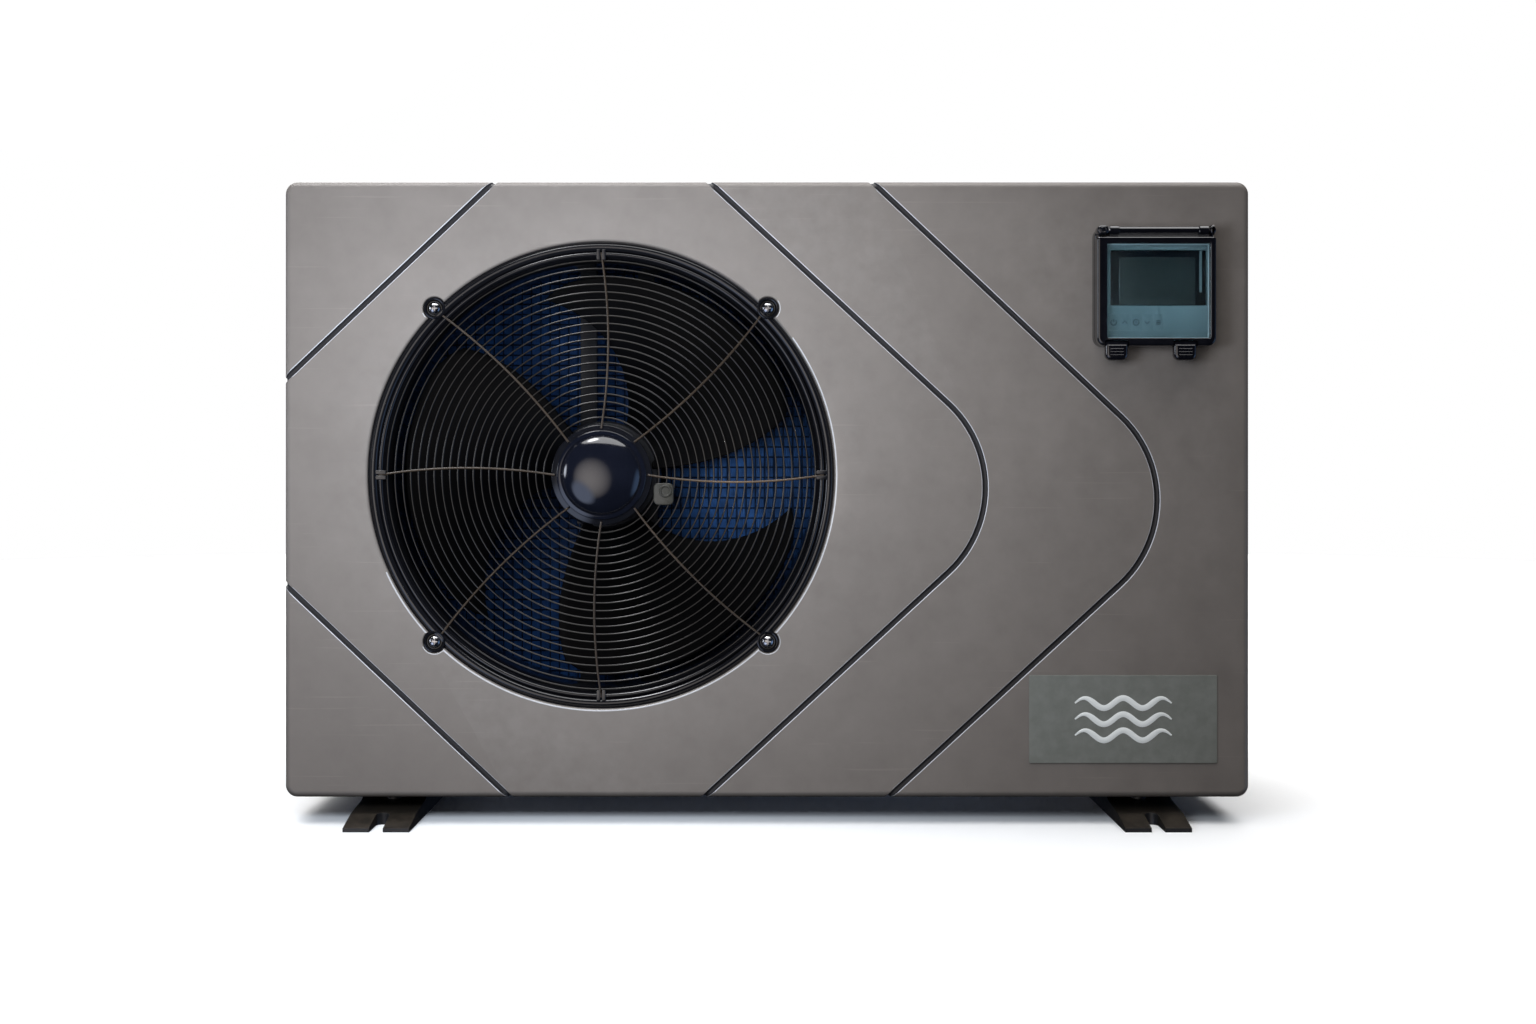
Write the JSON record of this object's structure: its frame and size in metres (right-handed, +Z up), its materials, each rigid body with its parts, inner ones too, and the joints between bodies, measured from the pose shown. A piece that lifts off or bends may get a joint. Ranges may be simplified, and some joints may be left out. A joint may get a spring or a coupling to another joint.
{
  "type": "pool heat pump",
  "caption": "Side-discharge pool heat pump: moulded casing with a guarded axial fan, hinged clear cover over a small controller, water unions at the rear.",
  "frame": {"origin": "on the ground under the middle of the whole unit's box", "axes": "+Z up, -Y out of the fan side, +X to the right as that side is faced"},
  "size_m": [0.96, 0.432, 0.64],
  "materials": {
    "casing": "satin warm taupe-grey moulding, lightly textured",
    "black_gloss": "high-gloss black",
    "black_matt": "matt black, moulded",
    "black_enamel": "semi-matt black enamel",
    "guard_wire": "coated wire with a faint bronze sheen",
    "foot_steel": "dark brown-black coated steel",
    "galvanised": "galvanised sheet",
    "blue_fins": "blue hydrophilic-coated fins",
    "copper": "drawn copper, slightly tarnished",
    "white_pvc": "moulded, smooth",
    "grey_pvc": "moulded dark grey, smooth",
    "titanium": "drawn titanium tube",
    "badge": "satin grey-green plate, left blank",
    "keypad": "satin teal-grey",
    "lcd": "dark display glass, switched off",
    "clear_cover": "clear polycarbonate",
    "board": "green circuit board with its parts",
    "screw_steel": "plated steel"
  },
  "bodies": {
    "casing": {"front_panel": "casing", "left_side_panel": "casing", "right_side_panel": "casing", "top_cover": "casing", "rear_grille": "casing", "rear_service_panel": "casing", "base_pan": "galvanised", "drain_stub": "black_matt", "divider_panel": "galvanised", "foot_rail_left": "foot_steel", "foot_rail_right": "foot_steel", "blank_badge": "badge", "fan_shroud": "black_gloss", "fan_guard": "guard_wire", "guard_hub_cap": "black_gloss", "guard_screw_1": "screw_steel", "guard_screw_2": "screw_steel", "guard_screw_3": "screw_steel", "guard_screw_4": "screw_steel", "fan_motor": "black_enamel", "motor_bracket": "galvanised", "evaporator_rear_fins": "blue_fins", "evaporator_side_fins": "blue_fins", "coil_end_plate_right": "galvanised", "coil_end_plate_left": "galvanised", "compressor": "black_enamel", "accumulator": "black_enamel", "reversing_valve": "copper", "discharge_pipe": "copper", "suction_pipe": "copper", "expansion_valve_line": "copper", "exchanger_shell": "white_pvc", "exchanger_cap": "grey_pvc", "titanium_coil": "titanium", "water_inlet_pipe": "grey_pvc", "water_outlet_pipe": "grey_pvc", "inlet_tailpiece": "grey_pvc", "outlet_tailpiece": "grey_pvc", "flow_switch": "black_matt", "control_box": "galvanised", "control_box_cover": "galvanised", "main_board": "board", "cable_gland": "black_matt", "controller_base": "black_gloss", "controller_unit": "keypad", "display_screen": "lcd", "cover_hinge_pin": "screw_steel"},
    "fan": {"fan_rotor": "black_matt", "fan_shaft": "screw_steel"},
    "controller_cover": {"cover_frame": "black_gloss", "cover_window": "clear_cover"},
    "latch_left": {"latch_left": "black_gloss"},
    "latch_right": {"latch_right": "black_gloss"},
    "inlet_nut": {"inlet_union_nut": "black_matt"},
    "outlet_nut": {"outlet_union_nut": "black_matt"},
    "key_1": {"key_1": "keypad"},
    "key_2": {"key_2": "keypad"},
    "key_3": {"key_3": "keypad"},
    "key_4": {"key_4": "keypad"},
    "key_5": {"key_5": "keypad"}
  },
  "joints": [
    {"name": "fan_spin", "type": "hinge", "parent": "casing", "child": "fan", "pos_m": [-0.165, -0.1285, 0.348], "axis": [0, 1, 0], "continuous": true},
    {"name": "cover_hinge", "type": "hinge", "parent": "casing", "child": "controller_cover", "pos_m": [0.3816, -0.2042, 0.5882], "axis": [-1, 0, 0], "range_deg": [0, 150]},
    {"name": "latch_left_pivot", "type": "hinge", "parent": "controller_cover", "child": "latch_left", "pos_m": [0.3426, -0.2042, 0.477], "axis": [-1, 0, 0], "range_deg": [0, 50]},
    {"name": "latch_right_pivot", "type": "hinge", "parent": "controller_cover", "child": "latch_right", "pos_m": [0.4098, -0.2042, 0.477], "axis": [-1, 0, 0], "range_deg": [0, 50]},
    {"name": "key_1_press", "type": "slide", "parent": "casing", "child": "key_1", "axis": [0, 1, 0], "range_m": [0, 0.0008], "stiffness_N_per_m": 1500},
    {"name": "key_2_press", "type": "slide", "parent": "casing", "child": "key_2", "axis": [0, 1, 0], "range_m": [0, 0.0008], "stiffness_N_per_m": 1500},
    {"name": "key_3_press", "type": "slide", "parent": "casing", "child": "key_3", "axis": [0, 1, 0], "range_m": [0, 0.0008], "stiffness_N_per_m": 1500},
    {"name": "key_4_press", "type": "slide", "parent": "casing", "child": "key_4", "axis": [0, 1, 0], "range_m": [0, 0.0008], "stiffness_N_per_m": 1500},
    {"name": "key_5_press", "type": "slide", "parent": "casing", "child": "key_5", "axis": [0, 1, 0], "range_m": [0, 0.0008], "stiffness_N_per_m": 1500},
    {"name": "inlet_nut_turn", "type": "hinge", "parent": "casing", "child": "inlet_nut", "pos_m": [0.392, 0.1548, 0.14], "axis": [0, 1, 0], "continuous": true},
    {"name": "outlet_nut_turn", "type": "hinge", "parent": "casing", "child": "outlet_nut", "pos_m": [0.392, 0.1548, 0.31], "axis": [0, 1, 0], "continuous": true}
  ]
}
